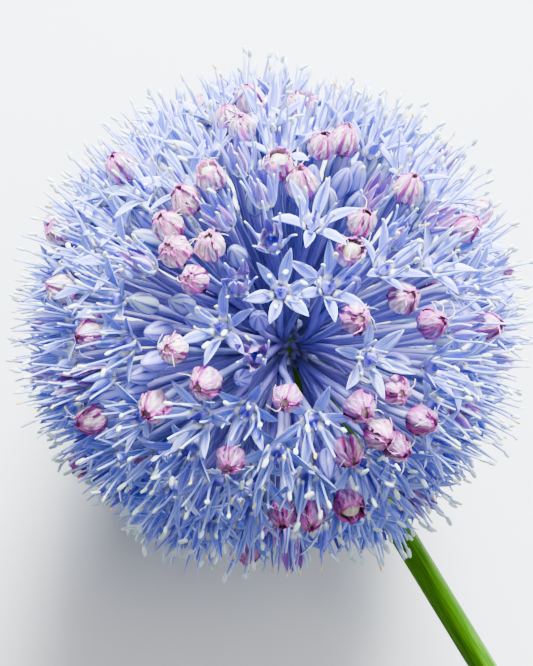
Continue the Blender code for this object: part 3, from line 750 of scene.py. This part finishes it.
# Dried tepal: brittle, silky paper, near white, that keeps its magenta along edges and veins.
papery_tepal, tree, shader = new_finish("papery_tepal", 0.36, IOR=1.5)
spread, u, v, tint = tile_places(tree)
off_middle = off_midline(tree, u)
sheet = shade(tree, tint, (0.0, "#FFF8FA"), (0.4, "#F4E2EE"), (0.6, "#E0BCDC"), (0.8, "#C090CA"),
              (1.0, "#A074B2"))
blotch = shade(tree, lengthwise(tree, spread, 7.0, 4.0, 5.0), (0.38, "#7E6C6C"), (0.48, "#C4B0B0"),
               (0.6, "#FFFFFF"))
aged = shade(tree, v, (0.0, "#B89A84"), (0.3, "#E8D8CC"), (0.55, "#FFFFFF"))
paper = mixed(tree, 0.8, mixed(tree, 0.9, sheet, blotch, "MULTIPLY"), aged, "MULTIPLY")
veins = shade(tree, lengthwise(tree, spread, 16.0, 1.0), (0.46, "#000000"), (0.6, "#A8A8A8"))
strong = shade(tree, tint, (0.0, "#DCDCDC"), (0.4, "#FFFFFF"), (1.0, "#FFFFFF"))
veined = mixed(tree, mixed(tree, 1.0, veins, strong, "MULTIPLY"), paper, linear("#B04CA4"))
wavy = node(tree, "Math", [(0, lengthwise(tree, spread, 2.0, 3.0)), (1, 0.5), (2, -0.25)],
            operation="MULTIPLY_ADD")
near_edge = node(tree, "Math", [(0, off_middle), (1, wavy.outputs[0])], operation="ADD").outputs[0]
rim = shade(tree, near_edge, (0.6, "#000000"), (0.78, "#FFFFFF"))
rimmed = mixed(tree, mixed(tree, 1.0, rim, strong, "MULTIPLY"), veined, linear("#980C80"))
tip_flush = shade(tree, v, (0.86, "#000000"), (0.93, "#F0F0F0"))
tree.links.new(mixed(tree, tip_flush, rimmed, linear("#A83494")), shader.inputs["Base Color"])
raise_surface(tree, shader, lengthwise(tree, spread, 12.0, 4.0, 5.0), 0.0002, 0.8)

# Seed capsule: matt, lobed, and a mottled beige with a pink cast, seen between and above the paper.
capsule_skin, tree, shader = new_finish("capsule_skin", 0.55, IOR=1.45)
spread, u, v, tint = tile_places(tree)
green = shade(tree, v, (0.0, "#B89CA0"), (0.6, "#C8B8B0"), (1.0, "#D0C4B4"))
mottled = shade(tree, lengthwise(tree, spread, 6.0, 5.0, 4.0), (0.35, "#8C8478"), (0.6, "#FFFFFF"))
tree.links.new(mixed(tree, 0.8, green, mottled, "MULTIPLY"), shader.inputs["Base Color"])

WRAP_STEPS = np.array([0.0, 0.12, 0.3, 0.5, 0.7, 0.86, 1.0])
WRAP_ACROSS = np.array([-1.0, -0.64, -0.22, 0.22, 0.64, 1.0, 0.6, 0.2, -0.2, -0.6])
WRAP = sleeve(7, 10, np.append((WRAP_ACROSS + 1) / 2, 0.0), WRAP_STEPS)
CAPSULE = sleeve(6, 12, np.linspace(0.0, 1.0, 13), np.linspace(0.0, 1.0, 6))


def wraps(turn, half_angle, twist, last_polar, lift, bulge, pleat, crumple):
    """Papery tepals wrapped on an egg: u goes round it, v from its foot to its tip, and they wind a little
    round it on the way. Each point stands off the egg by its tepal's lift and bulge (most on the midline),
    by pleats along the tepal, a cosine across it, by its edge's curl, and by its own small crumple."""
    polar = np.radians(10) + (last_polar - math.radians(10))[:, None, None] * WRAP_STEPS[None, :, None]
    narrow = np.interp(WRAP_STEPS, (0, 0.12, 0.5, 0.86, 1), (0.8, 1.0, 1.0, 0.95, 0.8))
    angle = (turn[:, None, None] + twist * (WRAP_STEPS - 0.4)[None, :, None]
             + half_angle[:, None, None] * narrow[None, :, None] * WRAP_ACROSS)
    curled = np.abs(WRAP_ACROSS)**3 * 0.2 * MM
    inner = np.where(np.arange(10) > 5, 0.1, 0.0) * MM
    pleated = 0.09 * MM * np.cos(WRAP_ACROSS * 5.5 + pleat[:, None, None])
    tuft = np.clip(WRAP_STEPS - 0.8, 0.0, None)[None, :, None] * 2.0 * MM
    swell = (1 - WRAP_ACROSS**2) * np.sin(polar)
    off = lift[:, None, None] + bulge * swell + (curled + pleated) * np.sin(polar) - inner + crumple
    radius = (BALL_RADIUS + off) * np.sin(polar) + 0.3 * tuft
    rise = BALL_MIDDLE - (BALL_HALF_HEIGHT + off) * np.cos(polar) + tuft
    return np.stack([radius * np.cos(angle), radius * np.sin(angle), rise], axis=-1)


def grow_spent(seat, axes, roll):
    """One spent floret: capsule, six wrapped tepals and a few crimped threads from its top."""
    size = chance.uniform(0.9, 1.06)
    polar = np.radians(np.linspace(8, 172, 6))[:, None]
    turn = ring_angles(12)
    radius = 0.88 * BALL_RADIUS * np.sin(polar) * (1 + 0.1 * np.cos(3 * turn))
    rise = np.broadcast_to(BALL_MIDDLE - 1.02 * BALL_HALF_HEIGHT * np.cos(polar), radius.shape)
    points = size * np.stack([radius * np.cos(turn), radius * np.sin(turn), rise], axis=-1)[None]
    grow(set_on(points, seat, axes), *CAPSULE, "capsule", chance.integers(0, TILES))
    turn = roll + SIX * math.pi / 3 + chance.uniform(-0.15, 0.15, 6)
    gaping = chance.random() < 0.2
    points = size * wraps(turn, chance.uniform(0.62, 0.8, 6) + 0.22 * (SIX % 2), chance.uniform(-0.6, 0.6),
                          np.radians(chance.uniform(120, 144, 6) if gaping else chance.uniform(158, 178, 6)),
                          (0.02 + 0.13 * (SIX % 2)) * MM, 0.14 * MM, chance.uniform(0.0, 6.0, 6),
                          chance.normal(0.0, 0.09, (6, 7, 10)) * MM)
    from_crown = 1 + (seat - GLOBE_CENTRE) @ SCAPE_WAY / GLOBE_RADIUS
    hue = round(5.0 * from_crown + chance.uniform(-1.0, 2.0))
    grow(set_on(points, seat, axes), *WRAP, "paper", np.clip(hue + chance.integers(-1, 2, 6), 0, 7))
    count = chance.integers(2, 6)
    turn = chance.uniform(0, 2 * math.pi, count)
    foot_lean = np.radians(chance.uniform(-5, 15, count))
    tip_lean = np.radians(chance.uniform(60, 200, count))
    points, _, _ = threads(turn, foot_lean, tip_lean, chance.uniform(1.4, 3.0, count) * MM,
                           np.full(count, 0.09) * MM, chance.uniform(-1.0, 1.0, count) * MM, 0.5 * MM)
    points[..., 2] += DRIED_THREAD_FOOT
    grow(set_on(points, seat, axes), *THREAD, "filament", chance.integers(6, 8))


# ---------------------------------------------------------------------------------------------------------
# Buds: six tepals shut edge to edge into a smooth, waxy egg on a shorter stalk. They are blue-violet with a
# dark stripe down each tepal; younger ones are still greenish white.
# ---------------------------------------------------------------------------------------------------------
BUD_RADII = np.array([0.3, 0.7, 1.04, 1.2, 1.12, 0.84, 0.46, 0.1]) * MM
BUD_RISES = np.array([0.05, 0.4, 1.05, 1.9, 2.8, 3.65, 4.3, 4.65]) * MM
BUD = sleeve(8, 12, np.append(np.tile([0.0, 0.5], 6), 0.0), BUD_RISES / BUD_RISES[-1])

# Young skin: smooth, with a thin wax that gives a soft second highlight and a cloudy bloom.
waxy_bud, tree, shader = new_finish("waxy_bud", 0.36, IOR=1.45, Coat_Weight=0.1, Coat_Roughness=0.35)
spread, u, v, tint = tile_places(tree)
off_middle = off_midline(tree, u)
body = shade(tree, tint, (0.0, "#A0A0F2"), (0.6, "#8A84E4"), (0.8, "#9AA8DC"), (1.0, "#BCD0D0"))
cloudy = shade(tree, lengthwise(tree, spread, 5.0, 1.5), (0.3, "#B4BAE4"), (0.7, "#FFFFFF"))
bloom = mixed(tree, 0.5, body, cloudy, "MULTIPLY")
stripe = shade(tree, off_middle, (0.0, "#FFFFFF"), (0.24, "#E0E0E0"), (0.44, "#000000"))
stripe_reach = shade(tree, v, (0.05, "#505050"), (0.3, "#FFFFFF"))
striped = mixed(tree, mixed(tree, 1.0, stripe, stripe_reach, "MULTIPLY"), bloom, linear("#35389C"))
seam = shade(tree, off_middle, (0.84, "#000000"), (1.0, "#9E9E9E"))
seamed = mixed(tree, seam, striped, linear("#D4DAF6"))
# Painted shade: the buds' colour is multiplied by a violet grey, darker on the side that faces the key
# light.
tree.links.new(mixed(tree, 0.8, seamed, painted_gap_shade(tree), "MULTIPLY"), shader.inputs["Base Color"])


def grow_bud(seat, axes, roll):
    """One bud: a profile turned round the axis, with grooves where the tepals' edges meet."""
    turn = ring_angles(12) + roll
    grooved = 1 - 0.075 * (1 - np.arange(12) % 2)
    size = chance.uniform(0.82, 1.04)
    radius = BUD_RADII[:, None] * grooved
    rise = np.broadcast_to(BUD_RISES[:, None], radius.shape)
    points = size * np.stack([radius * np.cos(turn), radius * np.sin(turn), rise], axis=-1)[None]
    grow(set_on(points, seat, axes), *BUD, "bud", chance.integers(0, TILES))


# ---------------------------------------------------------------------------------------------------------
# The bunches put together: each is a boss, its stalks and their florets. Florets tip a little off their
# stalks, and what lies under the globe is pressed flat on the surface: heights below a margin die away to 0.
# ---------------------------------------------------------------------------------------------------------
FLORET_TIP = math.radians(9.0)
PRESSED = 0.7 * MM  # the margin
BUNCH_FOOT = 3.15 * MM  # from the receptacle's middle to the stalks' feet
CROWDING_OF_FEET, MOST_CROWDED = 1.5 * MM, 0.42 * MM  # aside per unit of splay, and the most
GROW_KIND = {"open": grow_open, "spent": grow_spent, "bud": grow_bud}
FINISHES = [azure_tepal, filament_skin, anther_sacs, pistil_skin, pedicel_skin, papery_tepal,
            capsule_skin, waxy_bud]

for number, bunch in enumerate(bunches):
    name = f"floret_spray_{number + 1:02d}"
    grown = []
    mine = np.flatnonzero(member == number)
    splay = unit(seats[mine] - STALK_CENTRE)
    aside = CROWDING_OF_FEET * (splay - (splay @ bunch)[:, None] * bunch)
    aside *= np.minimum(1.0, MOST_CROWDED / np.maximum(np.linalg.norm(aside, axis=1), 1e-9))[:, None]
    feet = STALK_CENTRE + BUNCH_FOOT * bunch + aside
    up = unit(unit(seats[mine] - feet) + math.tan(FLORET_TIP) * chance.normal(0.0, 0.6, (len(mine), 3)))
    axes = axes_along(up)
    grow_boss(bunch)
    grow_stalks(feet, seats[mine], bunch, up)
    for k, seat, own_axes in zip(mine, seats[mine], axes):
        GROW_KIND[kinds[k]](seat, own_axes, rolls[k])
    starts = np.cumsum([0] + [len(part[0]) for part in grown[:-1]])
    points = np.concatenate([part[0] for part in grown])
    height = points[:, 2]
    pressed_height = PRESSED * np.exp(np.minimum(height / PRESSED - 1, 0.0))
    points[:, 2] = np.where(height < PRESSED, pressed_height, height)
    quads = np.concatenate([part[1] + start for part, start in zip(grown, starts)])
    places = np.concatenate([part[2] for part in grown])
    columns = np.concatenate([np.full(len(part[1]), part[3]) for part in grown])
    used, which = np.unique(columns, return_inverse=True)
    spray = new_piece(f"spray_{number + 1:02d}", points, quads, places, [FINISHES[c] for c in used], which)
    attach(spray, "root")
    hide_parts(name)

# ---------------------------------------------------------------------------------------------------------
# The studio: a plain pale floor, soft light from the crown's upper side, and a camera that looks down on the
# globe with the stem running away behind it.
# ---------------------------------------------------------------------------------------------------------
floor_finish, tree, shader = new_finish("studio_floor", 0.7)
shader.inputs["Base Color"].default_value = linear("#E4E7E2")
mesh = bpy.data.meshes.new("studio_floor")
FLOOR_REACH, FLOOR_HEIGHT = 3.0, -0.05 * MM
corners = [(x * FLOOR_REACH, y * FLOOR_REACH, FLOOR_HEIGHT) for x, y in ((-1, -1), (1, -1), (1, 1), (-1, 1))]
mesh.from_pydata(corners, [], [(0, 1, 2, 3)])
mesh.materials.append(floor_finish)
floor = bpy.data.objects.new("studio_floor", mesh)
bpy.context.scene.collection.objects.link(floor)

# The camera looks down, a little towards +Y, and is rolled about its view. It aims just beside the globe's
# centre, so that the stem's near stretch stays in the frame.
VIEW_LEAN, VIEW_ROLL = math.radians(5.0), math.radians(31.5)
VIEW = np.array([0.0, math.sin(VIEW_LEAN), -math.cos(VIEW_LEAN)])
LEVEL_UP = np.array([0.0, -math.cos(VIEW_LEAN), -math.sin(VIEW_LEAN)])
VIEW_UP = LEVEL_UP * math.cos(VIEW_ROLL) - SIDE * math.sin(VIEW_ROLL)
VIEW_RIGHT = np.cross(VIEW, VIEW_UP)
CAMERA_DISTANCE = 300 * MM
LENS_MM, SENSOR_MM = 144.5, 36.0
AIM_RIGHT, AIM_UP = -0.673 * MM, -1.234 * MM
camera = bpy.data.objects.new("camera", bpy.data.cameras.new("camera"))
camera.data.lens, camera.data.sensor_width, camera.data.clip_start = LENS_MM, SENSOR_MM, 0.01
place = GLOBE_CENTRE - VIEW * CAMERA_DISTANCE + AIM_RIGHT * VIEW_RIGHT + AIM_UP * VIEW_UP
camera.matrix_world = Matrix.Translation(Vector(place)) @ Matrix(
    np.stack([VIEW_RIGHT, VIEW_UP, -VIEW], axis=1).tolist()).to_4x4()
bpy.context.scene.collection.objects.link(camera)
bpy.context.scene.camera = camera


def soft_light(name, toward, distance, size, power, colour):
    """A square area light that stands this far from the globe in a direction and faces it."""
    lamp = bpy.data.lights.new(name, "AREA")
    lamp.size, lamp.energy, lamp.color = size, power, linear(colour)[:3]
    made = bpy.data.objects.new(name, lamp)
    way = Vector(unit(np.array(toward, float)))
    made.location = Vector(GLOBE_CENTRE) + way * distance
    made.rotation_euler = way.to_track_quat("Z", "Y").to_euler()
    bpy.context.scene.collection.objects.link(made)


soft_light("key", VIEW_UP * 1.4 + VIEW_RIGHT * 0.25 - VIEW * 0.7, 0.7, 0.26, 90.0, "#EEF2FF")
soft_light("fill", -VIEW + VIEW_RIGHT * 0.3 + VIEW_UP * 0.2, 0.9, 0.6, 7.5, "#F6F4FF")
world = bpy.data.worlds.new("studio")
world.use_nodes = True
world.node_tree.nodes["Background"].inputs["Color"].default_value = linear("#EEF2F8")
world.node_tree.nodes["Background"].inputs["Strength"].default_value = 0.25
bpy.context.scene.world = world
